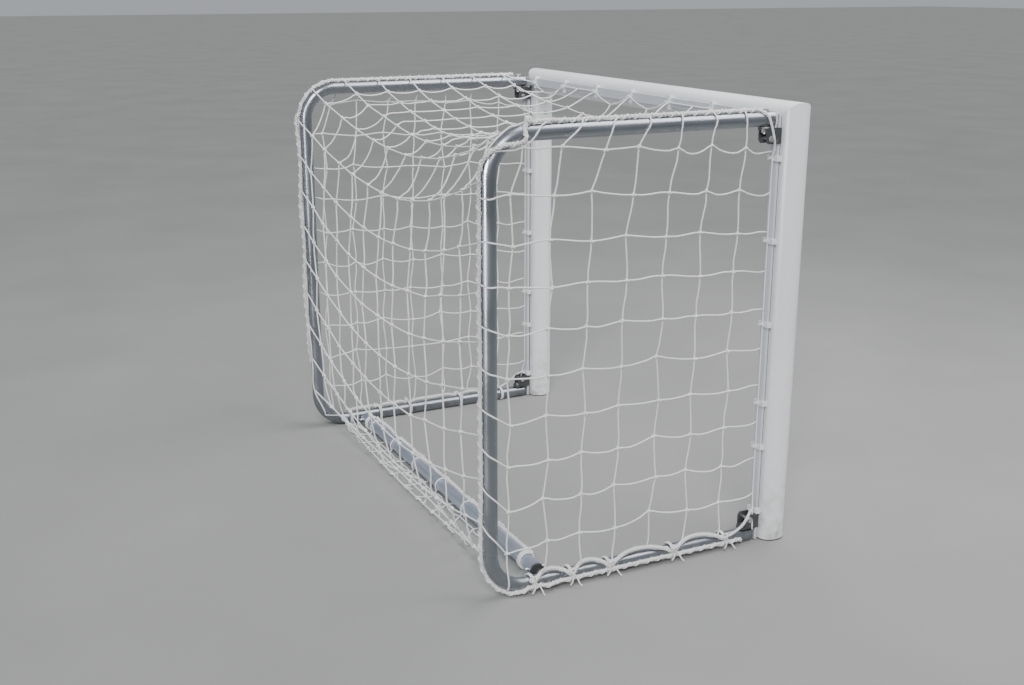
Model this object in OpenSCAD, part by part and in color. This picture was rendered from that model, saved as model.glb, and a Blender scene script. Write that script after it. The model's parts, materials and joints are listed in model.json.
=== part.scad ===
// Folding training goal: a mitred goal mouth of oval aluminium profile, two tubular side
// frames that fold in on vertical hinges, and a lift-out ground bar between them.
// The mouth faces -Y, the net is toward +Y, and the goal stands on z = 0.
// The left side frame is on the -X side.

/* [Goal] */
// Overall width across the two posts
goal_w = 1480; // [1480:10:1800]
// Overall height
goal_h = 1200; // [1100:10:1400]
// Depth from the front of the posts to the axis of the rear uprights
goal_d = 900; // [860:10:900]

/* [Profile] */
// Width and depth of the oval profile without its rail
profile_size = 80; // [76:1:80]
// How square the oval is: 2 is round, 4 is nearly square
profile_power = 2.3; // [2:0.1:3]
// Wall thickness of the profile
profile_wall = 3; // [2:0.5:4]
// Width of the net rail's head
rail_head_w = 26; // [24:1:28]
// Thickness of the net rail's head
rail_head_t = 7; // [5:1:8]
// Width of the net rail's neck
rail_neck_w = 14; // [10:1:16]
// Length of the net rail's neck
rail_neck_l = 8; // [8:1:9]

/* [Tubes] */
// Outer diameter of the side frames and of the ground bar
tube_dia = 38; // [36:1:38]
// Wall thickness of the tubes
tube_wall = 2; // [1.5:0.5:3]
// Bend radius of the side frames, to the tube's axis
bend_r = 100; // [80:5:120]
// Diameter of the border rope
rope_dia = 10; // [8:1:10]

/* [Ground bar] */
// Distance of the bar in front of the rear uprights
bar_forward = 155; // [150:5:170]
// Overall length of the bar
bar_len = 1312; // [1300:2:1312]
// Height of the bar's axis above the ground
bar_z = 25; // [25:1:26]

/* [Nets] */
// Thickness that stands for the net's twine
net_t = 3; // [2:0.5:4]
// How far the top net hangs down halfway across
net_sag = 70; // [30:5:90]

/* [Hidden] */
$fn = 48;

// Profile and rail
profile_half = profile_size / 2;
rail_d = rail_neck_l + rail_head_t;
outline_points = 96;
mitre_gap = 0.15;
mitre_over = 10;
mitre_inner = profile_size + mitre_over;

// Side frames
tube_r = tube_dia / 2;
rope_r = rope_dia / 2;
rope_gap = 0.3;
rope_offset = tube_r + rope_gap + rope_r;
depth_total = goal_d + rope_offset + rope_r;
front_y = -depth_total / 2;
profile_y = front_y + profile_half;
rail_back = front_y + profile_size + rail_d;
upright_y = front_y + goal_d;
bend_y = upright_y - bend_r;
side_x = goal_w / 2 - profile_half;
top_z = goal_h - profile_half;
low_z = tube_r;

// Hinges
pivot_y = rail_back + 32;
hinge_bolt_r = 5;
running_gap = 0.05;
washer_t = 2;
washer_gap = 0.4;
ear_t = 5;
bracket_t = 5;
bracket_h = 40;
bracket_half = rail_head_w / 2 + 0.2 + bracket_t;
bracket_reach = 44;
ear_top = top_z - tube_r - washer_gap - washer_t - 0.1;
ear_low = low_z + tube_r + washer_gap + washer_t + 0.1;
tube_start = rail_back + 12;
plug_lip = 3;
plug_len = 48;
plug_fit = 0.1;
hinge_head_r = 8.5;
hinge_head_h = 6;
hinge_nut_h = 8;
bottom_bolt_tip = 8;
clamp_bolt_r = 4;
clamp_y = rail_back + 24;
clamp_drop = 27;
clamp_nut_h = 6.5;

// Net clips
clip_w = 40;
clip_len = 13;
clip_fit = 0.25;
clip_wall = 4;
eye_r = 4;
eye_half = 4;
eye_bore = 1.8;
eye_set = 2.3;
clip_post_z = [88, 275, 400, 620, 845, 1060];
clip_pitch = 210;
clip_count = 7;

// Feet and corners
foot_t = 3;
foot_plug = 22;
joint_half = 26;
joint_arm = 140;
screw_r = 3;
screw_reach = 110;
screw_len = 30;

// Ground bar and its brackets
bar_y = upright_y - bar_forward;
cap_t = 4;
pin_r = 4;
pin_inset = 16;
flange_gap = 4;
flange_t = 3;
flange_len = 45;
flange_top = bar_z - 2;
flange_low = 2;
bar_bracket_x = side_x - tube_r - 0.2;

// Nets
net_x = side_x + tube_r + 0.5;
net_corner = bend_r - 12;
net_front = pivot_y + 18;

// Border rope
rope_start = pivot_y + 22;
rope_sides = 8;
nut_bump = 7;
bump_half = 28;
rope_drop = 140;
drop_count = 5;

// Points of a rounded square whose squareness is set by a power
function oval(a, b, power) = [
    for (i = [0:outline_points - 1])
        let (t = 360 * i / outline_points, c = cos(t), s = sin(t))
            [a * sign(c) * pow(abs(c), 2 / power), b * sign(s) * pow(abs(s), 2 / power)]
];

// Points along an arc in a plane
function arc(cx, cy, r, from, to, steps) = [
    for (i = [0:steps])
        let (t = from + (to - from) * i / steps)
            [cx + r * cos(t), cy + r * sin(t)]
];

// Route of the border rope in the left side frame's own plane: on the top tube, down behind
// the upright, round its foot to the outer side and forward beside the bottom tube
turn_z = top_z - bend_r - rope_drop * drop_count;
bump_y = bar_y + bump_half;
rope_route = concat(
    [for (i = [0:4]) [0, rope_start + (bend_y - rope_start) * i / 5, top_z + rope_offset]],
    [for (p = arc(bend_y, top_z - bend_r, bend_r + rope_offset, 90, 0, 10)) [0, p[0], p[1]]],
    [for (i = [1:drop_count]) [0, upright_y + rope_offset, top_z - bend_r - rope_drop * i]],
    [for (a = [15:15:75])
        [-rope_offset * sin(a), upright_y + rope_offset * cos(a), turn_z - 2 * a]],
    [for (p = arc(bend_y, low_z + bend_r, bend_r, 0, -90, 8)) [-rope_offset, p[0], p[1]]],
    [for (a = [0:45:360])
        [-rope_offset - nut_bump * (1 - cos(a)) / 2, bump_y - a * bump_half / 180, low_z]],
    [for (i = [1:5]) [-rope_offset, bar_y - bump_half + (rope_start - bar_y + bump_half) * i / 5, low_z]]
);

// Draws the children on both sides of the goal
module both_sides() {
    children();
    mirror([1, 0, 0]) children();
}

// Extrudes an outline drawn in X and Z along Y, from y0 to y1
module along_y(y0, y1) {
    translate([0, y1, 0]) rotate([90, 0, 0]) linear_extrude(y1 - y0) children();
}

// Extrudes an outline drawn in Y and Z along X, from x0 to x1
module along_x(x0, x1) {
    translate([x0, 0, 0]) rotate([90, 0, 90]) linear_extrude(x1 - x0) children();
}

// One length of the oval profile along Z, with its rail toward +Y
module profile(length) {
    inner = profile_half - profile_wall;
    difference() {
        linear_extrude(length) polygon(oval(profile_half, profile_half, profile_power));
        translate([0, 0, -1])
            linear_extrude(length + 2) polygon(oval(inner, inner, profile_power));
    }
    translate([-rail_neck_w / 2, profile_half - 2, 0])
        cube([rail_neck_w, rail_neck_l + 3, length]);
    translate([-rail_head_w / 2, profile_half + rail_neck_l, 0])
        cube([rail_head_w, rail_head_t, length]);
}

// Countersunk screw along -Z with its head flush at z = 0
module countersunk(length, r) {
    translate([0, 0, -length]) cylinder(h = length, r = r);
    translate([0, 0, -r]) cylinder(h = r, r1 = r, r2 = 2 * r);
}

// The left corner's two screws, one in the post's inner side and one under the crossbar
module left_corner_screws(extra) {
    translate([-side_x + profile_half, profile_y, top_z - screw_reach])
        rotate([0, 90, 0]) countersunk(screw_len, screw_r + extra);
    translate([-side_x + screw_reach, profile_y, goal_h - profile_size])
        rotate([180, 0, 0]) countersunk(screw_len, screw_r + extra);
}

module crossbar() {
    edge = goal_w / 2;
    color("white")
    difference() {
        intersection() {
            translate([-edge, profile_y, top_z]) rotate([0, 90, 0]) profile(goal_w);
            along_y(front_y - 1, rail_back + 1)
                polygon([[-edge - mitre_over + mitre_gap, goal_h + mitre_over],
                    [edge + mitre_over - mitre_gap, goal_h + mitre_over],
                    [edge - mitre_inner - mitre_gap, goal_h - mitre_inner],
                    [-edge + mitre_inner + mitre_gap, goal_h - mitre_inner]]);
        }
        both_sides() left_corner_screws(0.2);
    }
}

module left_post() {
    edge = goal_w / 2;
    color("white")
    difference() {
        intersection() {
            translate([-side_x, profile_y, foot_t]) profile(goal_h);
            along_y(front_y - 1, rail_back + 1)
                polygon([[-edge - mitre_over, 0], [-edge + mitre_inner, 0],
                    [-edge + mitre_inner, goal_h - mitre_inner - mitre_gap],
                    [-edge - mitre_over, goal_h + mitre_over - mitre_gap]]);
        }
        left_corner_screws(0.2);
    }
}

module right_post() {
    mirror([1, 0, 0]) left_post();
}

// Cast elbow that joins the post and the crossbar inside the mitre
module left_corner_joint() {
    outer_x = -side_x - joint_half;
    inner_x = -side_x + joint_half;
    color("silver")
    difference() {
        along_y(profile_y - joint_half, profile_y + joint_half)
            polygon([[outer_x, top_z - joint_arm], [inner_x, top_z - joint_arm],
                [inner_x, top_z - joint_half], [-side_x + joint_arm, top_z - joint_half],
                [-side_x + joint_arm, top_z + joint_half], [outer_x, top_z + joint_half]]);
        left_corner_screws(running_gap);
    }
}

module right_corner_joint() {
    mirror([1, 0, 0]) left_corner_joint();
}

module corner_screws() {
    color("gainsboro") both_sides() left_corner_screws(0);
}

// Plastic plug that closes the foot of a post
module left_foot_cap() {
    plug = profile_half - profile_wall - 0.2;
    color("dimgray")
    translate([-side_x, profile_y, 0]) {
        linear_extrude(foot_t) polygon(oval(profile_half, profile_half, profile_power));
        difference() {
            linear_extrude(foot_plug) polygon(oval(plug, plug, profile_power));
            translate([0, 0, foot_t])
                linear_extrude(foot_plug) polygon(oval(plug - 3, plug - 3, profile_power));
        }
    }
}

module right_foot_cap() {
    mirror([1, 0, 0]) left_foot_cap();
}

// C-shaped clip that snaps over a rail running along Z, centred on the profile's axis
module net_clip() {
    head_y = profile_half + rail_neck_l;
    back_y = profile_half + rail_d + clip_wall;
    difference() {
        union() {
            translate([-clip_w / 2, profile_half + 4, -clip_len / 2])
                cube([clip_w, back_y - profile_half - 4, clip_len]);
            translate([-eye_half, back_y + eye_set, 0])
                rotate([0, 90, 0]) cylinder(h = 2 * eye_half, r = eye_r);
        }
        translate([-rail_head_w / 2 - clip_fit, head_y - clip_fit, -clip_len])
            cube([rail_head_w + 2 * clip_fit, rail_head_t + 2 * clip_fit, 2 * clip_len]);
        translate([-rail_neck_w / 2 - clip_fit, profile_half, -clip_len])
            cube([rail_neck_w + 2 * clip_fit, rail_neck_l, 2 * clip_len]);
        translate([-eye_half - 1, back_y + eye_set, 0])
            rotate([0, 90, 0]) cylinder(h = 2 * eye_half + 2, r = eye_bore);
    }
}

module crossbar_net_clips() {
    color("whitesmoke")
    for (i = [0:clip_count - 1])
        translate([(i - (clip_count - 1) / 2) * clip_pitch, profile_y, top_z])
            rotate([0, 90, 0]) net_clip();
}

module left_post_net_clips() {
    color("whitesmoke")
    for (z = clip_post_z)
        translate([-side_x, profile_y, z]) net_clip();
}

module right_post_net_clips() {
    mirror([1, 0, 0]) left_post_net_clips();
}

// Folded steel bracket that grips the rail and carries one hinge bolt.
// Its ear is below the tube, with the top face at z = 0, and the rest hangs down.
module hinge_bracket() {
    grip = rail_back - rail_head_t;
    difference() {
        union() {
            translate([-bracket_half, rail_back + 0.2, -ear_t])
                cube([2 * bracket_half, pivot_y - rail_back, ear_t]);
            translate([0, pivot_y, -ear_t]) cylinder(h = ear_t, r = bracket_half);
            translate([-bracket_half, rail_back + 0.2, -bracket_h])
                cube([2 * bracket_half, bracket_t, bracket_h]);
            for (x = [-bracket_half, bracket_half - bracket_t])
                along_x(x, x + bracket_t)
                    polygon([[grip, 0], [grip, -bracket_h], [rail_back + 32, -bracket_h],
                        [rail_back + bracket_reach - 6, -bracket_h + 8],
                        [rail_back + bracket_reach - 6, 0]]);
        }
        translate([0, pivot_y, -bracket_h]) cylinder(h = 2 * bracket_h, r = hinge_bolt_r + running_gap);
        translate([-bracket_half - 1, clamp_y, -clamp_drop])
            rotate([0, 90, 0]) cylinder(h = 2 * bracket_half + 2, r = clamp_bolt_r + 0.2);
    }
}

module top_left_hinge_bracket() {
    color("dimgray") translate([-side_x, 0, ear_top]) hinge_bracket();
}

module bottom_left_hinge_bracket() {
    color("dimgray") translate([-side_x, 0, ear_low]) mirror([0, 0, 1]) hinge_bracket();
}

module top_right_hinge_bracket() {
    mirror([1, 0, 0]) top_left_hinge_bracket();
}

module bottom_right_hinge_bracket() {
    mirror([1, 0, 0]) bottom_left_hinge_bracket();
}

// Places the children at the left clamp bolts, with +Z toward the outside
module at_clamp_bolts() {
    for (z = [ear_top - clamp_drop, ear_low + clamp_drop])
        translate([-side_x, clamp_y, z]) rotate([0, -90, 0]) children();
}

module clamp_bolts() {
    color("silver")
    both_sides() at_clamp_bolts() {
        translate([0, 0, -bracket_half - 9]) cylinder(h = 2 * bracket_half + 9, r = clamp_bolt_r);
        translate([0, 0, bracket_half]) cylinder(h = 1.5, r = 8);
        translate([0, 0, bracket_half + 1.5]) cylinder(h = 5, r = 7, $fn = 6);
    }
}

module clamp_nuts() {
    color("silver")
    both_sides() at_clamp_bolts()
        translate([0, 0, -bracket_half - clamp_nut_h])
            difference() {
                cylinder(h = clamp_nut_h, r = 7.2, $fn = 6);
                translate([0, 0, -1]) cylinder(h = clamp_nut_h + 2, r = clamp_bolt_r);
            }
}

// Hinge bolts through the top tubes, with the head above the tube
module top_hinge_bolts() {
    head_z = top_z + tube_r + 0.5;
    tip_z = ear_top - ear_t - hinge_nut_h - 3;
    color("silver")
    both_sides() translate([-side_x, pivot_y, 0]) {
        translate([0, 0, tip_z]) cylinder(h = head_z - tip_z, r = hinge_bolt_r);
        translate([0, 0, head_z]) cylinder(h = hinge_head_h, r = hinge_head_r, $fn = 6);
    }
}

// Hinge bolts that pass down through the bottom ears into the tubes
module bottom_hinge_bolts() {
    head_z = ear_low + ear_t;
    color("silver")
    both_sides() translate([-side_x, pivot_y, 0]) {
        translate([0, 0, bottom_bolt_tip]) cylinder(h = head_z - bottom_bolt_tip, r = hinge_bolt_r);
        translate([0, 0, head_z]) cylinder(h = hinge_head_h, r = hinge_head_r, $fn = 6);
    }
}

module hinge_nuts() {
    color("silver")
    both_sides() translate([-side_x, pivot_y, ear_top - ear_t - hinge_nut_h])
        difference() {
            cylinder(h = hinge_nut_h, r = 9, $fn = 6);
            translate([0, 0, -1]) cylinder(h = hinge_nut_h + 2, r = hinge_bolt_r);
        }
}

module hinge_washers() {
    color("ivory")
    both_sides()
        for (z = [ear_top + 0.05, ear_low - washer_t - 0.05])
            translate([-side_x, pivot_y, z])
                difference() {
                    cylinder(h = washer_t, r = 11);
                    translate([0, 0, -1]) cylinder(h = washer_t + 2, r = hinge_bolt_r + running_gap);
                }
}

// Quarter bend of a round bar in the YZ plane, about a centre, starting at an angle from +Y
module bend(y, z, start, r) {
    translate([0, y, z]) rotate([90, 0, 90]) rotate([0, 0, start])
        rotate_extrude(angle = 90) translate([bend_r, 0]) circle(r = r);
}

// Solid of a side frame's tube for a given radius, lengthened at its open ends
module side_bar(r, extra) {
    run = bend_y - tube_start;
    for (z = [low_z, top_z])
        translate([0, tube_start - extra, z]) rotate([-90, 0, 0]) cylinder(h = run + extra, r = r);
    translate([0, upright_y, low_z + bend_r]) cylinder(h = top_z - low_z - 2 * bend_r, r = r);
    bend(bend_y, top_z - bend_r, 0, r);
    bend(bend_y, low_z + bend_r, -90, r);
}

module left_side_tube() {
    color("silver")
    translate([-side_x, 0, 0])
    difference() {
        side_bar(tube_r, 0);
        side_bar(tube_r - tube_wall, 1);
        translate([0, pivot_y, top_z - tube_dia])
            cylinder(h = 2 * tube_dia, r = hinge_bolt_r + running_gap);
        translate([0, pivot_y, low_z]) cylinder(h = 2 * tube_dia, r = hinge_bolt_r + running_gap);
        translate([-tube_dia, bar_y, low_z]) rotate([0, 90, 0])
            cylinder(h = 2 * tube_dia, r = screw_r + 0.2);
    }
}

module right_side_tube() {
    mirror([1, 0, 0]) left_side_tube();
}

// Solid plugs in the front ends of a side frame, bored for the hinge bolts
module left_tube_plugs() {
    color("dimgray")
    difference() {
        for (z = [low_z, top_z])
            translate([-side_x, tube_start, z]) rotate([-90, 0, 0]) {
                translate([0, 0, -plug_lip]) cylinder(h = plug_lip, r1 = tube_r - 2, r2 = tube_r);
                cylinder(h = plug_len, r = tube_r - tube_wall - plug_fit);
            }
        translate([-side_x, pivot_y, 6]) cylinder(h = tube_dia, r = hinge_bolt_r + running_gap);
        translate([-side_x, pivot_y, top_z - tube_dia])
            cylinder(h = 2 * tube_dia, r = hinge_bolt_r + running_gap);
    }
}

module right_tube_plugs() {
    mirror([1, 0, 0]) left_tube_plugs();
}

// U-shaped cradle on the side tube: two flanges beside the bar and a web on the tube
module left_bar_bracket() {
    inner = tube_r + flange_gap;
    x0 = -bar_bracket_x;
    color("lightsteelblue")
    difference() {
        translate([x0, bar_y - inner - flange_t, flange_low])
            cube([flange_len, 2 * (inner + flange_t), flange_top - flange_low]);
        translate([x0 + flange_t, bar_y - inner, flange_low - 1])
            cube([flange_len, 2 * inner, flange_top]);
        translate([-bar_len / 2 + pin_inset, bar_y - 50, bar_z])
            rotate([-90, 0, 0]) cylinder(h = 100, r = pin_r + 0.3);
        translate([x0 + flange_t, bar_y, low_z]) rotate([0, 90, 0]) countersunk(20, screw_r + 0.2);
    }
}

module right_bar_bracket() {
    mirror([1, 0, 0]) left_bar_bracket();
}

// Countersunk bolt through the web and the side tube, with a nut outside
module left_bar_bracket_bolt() {
    length = 2 * tube_r + flange_t + 7;
    color("silver")
    translate([-bar_bracket_x + flange_t, bar_y, low_z]) rotate([0, 90, 0]) {
        countersunk(length, screw_r);
        translate([0, 0, -length + 1]) cylinder(h = 5, r = 6, $fn = 6);
    }
}

module right_bar_bracket_bolt() {
    mirror([1, 0, 0]) left_bar_bracket_bolt();
}

module ground_bar() {
    half = bar_len / 2 - cap_t;
    color("lightsteelblue")
    difference() {
        translate([-half, bar_y, bar_z]) rotate([0, 90, 0]) cylinder(h = 2 * half, r = tube_r);
        translate([-half - 1, bar_y, bar_z])
            rotate([0, 90, 0]) cylinder(h = 2 * half + 2, r = tube_r - tube_wall);
        both_sides()
            translate([-bar_len / 2 + pin_inset, bar_y - 50, bar_z])
                rotate([-90, 0, 0]) cylinder(h = 100, r = pin_r);
    }
}

module ground_bar_caps() {
    color("dimgray")
    both_sides()
        translate([-bar_len / 2, bar_y, bar_z]) rotate([0, 90, 0]) {
            cylinder(h = cap_t, r1 = tube_r - 2, r2 = tube_r);
            translate([0, 0, cap_t]) cylinder(h = 5, r = tube_r - tube_wall - plug_fit);
        }
}

// Lock pins through the ends of the bar, which rest in the cradles' notches
module ground_bar_pins() {
    half = tube_r + flange_gap + flange_t + 2;
    color("silver")
    both_sides()
        translate([-bar_len / 2 + pin_inset, bar_y - half, bar_z])
            rotate([-90, 0, 0]) cylinder(h = 2 * half, r = pin_r);
}

function unit(v) = v / norm(v);
function tangent(path, i) = unit(path[min(i + 1, len(path) - 1)] - path[max(i - 1, 0)]);

// Tube swept along a path that never runs along X
module sweep(path, r) {
    rings = [
        for (i = [0:len(path) - 1])
            let (t = tangent(path, i), n = unit([1, 0, 0] - t[0] * t), b = cross(t, n))
                for (k = [0:rope_sides - 1])
                    path[i] + r * (cos(360 * k / rope_sides) * n + sin(360 * k / rope_sides) * b)
    ];
    last = (len(path) - 1) * rope_sides;
    walls = [
        for (i = [0:len(path) - 2])
            for (k = [0:rope_sides - 1])
                let (a = i * rope_sides, m = (k + 1) % rope_sides)
                    [a + k, a + rope_sides + k, a + rope_sides + m, a + m]
    ];
    start_cap = [for (k = [0:rope_sides - 1]) k];
    end_cap = [for (k = [rope_sides - 1:-1:0]) last + k];
    polyhedron(points = rings, faces = concat([start_cap], [end_cap], walls), convexity = 6);
}

module left_border_rope() {
    color("white") translate([-side_x, 0, 0]) sweep(rope_route, rope_r);
}

module right_border_rope() {
    mirror([1, 0, 0]) left_border_rope();
}

// Side panel of the net, flat against the outside of the side tube
module left_side_net() {
    low = low_z + bend_r - net_corner;
    high = top_z - bend_r + net_corner;
    color("whitesmoke")
    along_x(-net_x - net_t, -net_x)
        polygon(concat([[net_front, high], [net_front, low]],
            arc(bend_y, low_z + bend_r, net_corner, -90, 0, 12),
            arc(bend_y, top_z - bend_r, net_corner, 0, 90, 12)));
}

module right_side_net() {
    mirror([1, 0, 0]) left_side_net();
}

// Top panel of the net, which hangs between the two top tubes
module top_net() {
    half = side_x - tube_r - 3;
    steps = 24;
    xs = [for (i = [0:steps]) -half + 2 * half * i / steps];
    sag = [for (x = xs) [x, top_z - net_sag * (1 - pow(x / half, 2))]];
    color("whitesmoke")
    along_y(rail_back + 14, upright_y - 6)
        polygon(concat(sag, [for (i = [steps:-1:0]) sag[i] + [0, net_t]]));
}

// Back panel of the net, which hangs behind the ground bar and turns in to it on the ground
module back_net() {
    half = side_x - tube_r - 5;
    foot_r = 40;
    back = upright_y - 2;
    rim = bar_y + tube_r + flange_gap + flange_t + 6;
    color("whitesmoke")
    along_x(-half, half)
        polygon(concat([[rim, 2 + net_t], [rim, 2]],
            arc(back - foot_r, foot_r + 2, foot_r, -90, 0, 8),
            [[back, top_z - bend_r], [back - net_t, top_z - bend_r]],
            arc(back - foot_r, foot_r + 2, foot_r - net_t, 0, -90, 8)));
}

crossbar();
left_post();
right_post();
left_corner_joint();
right_corner_joint();
corner_screws();
left_foot_cap();
right_foot_cap();
crossbar_net_clips();
left_post_net_clips();
right_post_net_clips();
top_left_hinge_bracket();
bottom_left_hinge_bracket();
top_right_hinge_bracket();
bottom_right_hinge_bracket();
clamp_bolts();
clamp_nuts();
top_hinge_bolts();
bottom_hinge_bolts();
hinge_nuts();
hinge_washers();
left_side_tube();
right_side_tube();
left_tube_plugs();
right_tube_plugs();
left_bar_bracket();
right_bar_bracket();
left_bar_bracket_bolt();
right_bar_bracket_bolt();
ground_bar();
ground_bar_caps();
ground_bar_pins();
left_border_rope();
right_border_rope();
left_side_net();
right_side_net();
top_net();
back_net();
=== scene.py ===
"""Folding training goal: materials for the CAD frame, and its knotted net, ropes and lashings.

The frame gives every place. The net is a grid of knots joined by twine, relaxed under gravity
against the tubes, the ground bar and the ground, and then built as round strands with knots.
Everything is in metres. The mouth faces -Y and the left side frame is on the -X side.
"""
import json
import math

import bpy
import numpy as np
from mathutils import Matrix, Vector


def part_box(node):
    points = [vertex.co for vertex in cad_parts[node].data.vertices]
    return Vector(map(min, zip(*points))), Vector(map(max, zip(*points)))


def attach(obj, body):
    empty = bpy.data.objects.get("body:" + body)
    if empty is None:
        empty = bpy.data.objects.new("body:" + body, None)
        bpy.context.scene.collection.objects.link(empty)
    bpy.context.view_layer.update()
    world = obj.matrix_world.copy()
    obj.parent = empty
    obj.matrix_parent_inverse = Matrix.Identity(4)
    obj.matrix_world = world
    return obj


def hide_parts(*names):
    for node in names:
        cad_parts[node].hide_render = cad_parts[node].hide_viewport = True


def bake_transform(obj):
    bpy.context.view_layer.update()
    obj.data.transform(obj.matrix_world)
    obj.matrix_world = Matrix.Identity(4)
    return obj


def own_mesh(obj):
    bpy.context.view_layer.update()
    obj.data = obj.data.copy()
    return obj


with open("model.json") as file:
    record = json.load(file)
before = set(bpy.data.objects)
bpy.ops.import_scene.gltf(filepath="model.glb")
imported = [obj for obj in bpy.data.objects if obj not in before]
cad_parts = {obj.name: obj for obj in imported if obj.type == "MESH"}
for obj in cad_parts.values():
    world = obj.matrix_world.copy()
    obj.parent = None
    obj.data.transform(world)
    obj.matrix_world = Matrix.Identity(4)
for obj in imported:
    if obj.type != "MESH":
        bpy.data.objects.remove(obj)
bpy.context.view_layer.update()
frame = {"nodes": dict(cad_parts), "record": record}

# ---------------------------------------- places, from the frame

tube_low, tube_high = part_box("left_side_tube")
rope_low, rope_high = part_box("left_border_rope")
bar_low, bar_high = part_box("ground_bar")
pin_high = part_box("ground_bar_pins")[1]
clip_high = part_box("left_post_net_clips")[1]
nut_low, nut_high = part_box("hinge_nuts")

TUBE_R = (tube_high.x - tube_low.x) / 2
SIDE_X = -(tube_high.x + tube_low.x) / 2
LOW_Z = tube_low.z + TUBE_R
TOP_Z = tube_high.z - TUBE_R
UPRIGHT_Y = tube_high.y - TUBE_R
BEND_R = 0.100
BEND_Y = UPRIGHT_Y - BEND_R
ROPE_GAP = 0.0003
ROPE_R = (rope_high.y - UPRIGHT_Y - TUBE_R - ROPE_GAP) / 2
ROPE_OFFSET = TUBE_R + ROPE_GAP + ROPE_R
ROPE_START = rope_low.y
BAR_Y = (bar_low.y + bar_high.y) / 2
BAR_Z = (bar_low.z + bar_high.z) / 2
BAR_R = (bar_high.z - bar_low.z) / 2
BAR_HALF = bar_high.x
PIN_X = pin_high.x - 0.004
EYE_R = 0.004
EYE_Y = clip_high.y - EYE_R
RAIL_DEPTH, RAIL_NECK = 0.015, 0.008
PROFILE_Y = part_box("left_post")[1].y - RAIL_DEPTH
RAIL_Y = PROFILE_Y + RAIL_NECK
PIVOT_Y = (nut_low.y + nut_high.y) / 2

# ---------------------------------------- the net's own sizes

TWINE_R = 0.0021
SIDE_COLUMNS, SIDE_ROWS = 8, 11  # meshes of a side net
ACROSS, ALONG = 12, 18  # meshes of the top and back net
SPARE_POINTS = 4  # steps of twine from knot to knot
EDGE_TWINE_Y = EYE_Y - 0.0020
ZIGZAG = 0.0050
KNOT_SHIFT, KNOT_WIRE = 0.0018, 0.0024
RING_R, RING_WIRE, RING_Y = 0.0052, 0.0011, EYE_Y + 0.0042  # rings that hold twine to a clip
TIE_Y = (0.325, 0.215, 0.102, -0.095, -0.262)  # ties on the bottom run
CORD_R, CORD_PITCH = 0.0056, 0.024  # foot cord and foot rope
LAID_R, LAID_PITCH = ROPE_R * 1.06, 0.030
FIBRES_PER_METRE, FIBRE_R = 1500, 0.00022
FINE_STEPS = 4000
UPRIGHT_STEP, UPRIGHT_RUN = 0.14, 0.7  # the rope's steps down the upright
BRACKET_REACH = 0.028  # the rope's bump round a bar bracket


def side_name(side):
    return "left" if side < 0 else "right"


def clusters(values, gap):
    """Middles of the groups that values fall into, where groups are at least gap apart."""
    ordered = np.sort(np.asarray(values))
    breaks = np.flatnonzero(np.diff(ordered) > gap) + 1
    return [float((g.min() + g.max()) / 2) for g in np.split(ordered, breaks)]


def node_points(node):
    """Vertices of a CAD node, in the row frame."""
    mesh = frame["nodes"][node].data
    points = np.zeros(len(mesh.vertices) * 3)
    mesh.vertices.foreach_get("co", points)
    return points.reshape(-1, 3)


POST_CLIP_Z = clusters(node_points("left_post_net_clips")[:, 2], 0.03)
CROSSBAR_CLIP_X = clusters(node_points("crossbar_net_clips")[:, 0], 0.03)


def add_object(name, data):
    """A new object in the scene, with the given mesh, light or camera."""
    made = bpy.data.objects.new(name, data)
    bpy.context.scene.collection.objects.link(made)
    return made


# ---------------------------------------- curves

def resample(path, count):
    """A path of points as count points at equal steps of length."""
    path = np.asarray(path, float)
    run = np.concatenate([[0], np.cumsum(np.linalg.norm(np.diff(path, axis=0), axis=1))])
    at = np.linspace(0, run[-1], count)
    return np.stack([np.interp(at, run, path[:, k]) for k in range(3)], axis=1)


def path_length(path):
    return float(np.linalg.norm(np.diff(np.asarray(path), axis=0), axis=1).sum())


def smooth(paths, steps):
    """Catmull-Rom curve through the points of each path: paths is (paths, points, 3)."""
    padded = np.concatenate([2 * paths[:, :1] - paths[:, 1:2], paths,
                             2 * paths[:, -1:] - paths[:, -2:-1]], axis=1)
    a, b, c, d = padded[:, :-3], padded[:, 1:-2], padded[:, 2:-1], padded[:, 3:]
    parts = []
    for k in range(steps):
        t = k / steps
        parts.append(0.5 * (2 * b + (c - a) * t + (2 * a - 5 * b + 4 * c - d) * t ** 2
                            + (3 * b - a - 3 * c + d) * t ** 3))
    woven = np.stack(parts, axis=2).reshape(paths.shape[0], -1, 3)
    return np.concatenate([woven, paths[:, -1:]], axis=1)


def arc_points(cy, cz, r, start, end, steps):
    """Points (y, z) along an arc, with angles in degrees from +Y."""
    turns = np.radians(np.linspace(start, end, steps + 1))
    return [(cy + r * math.cos(t), cz + r * math.sin(t)) for t in turns]


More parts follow.
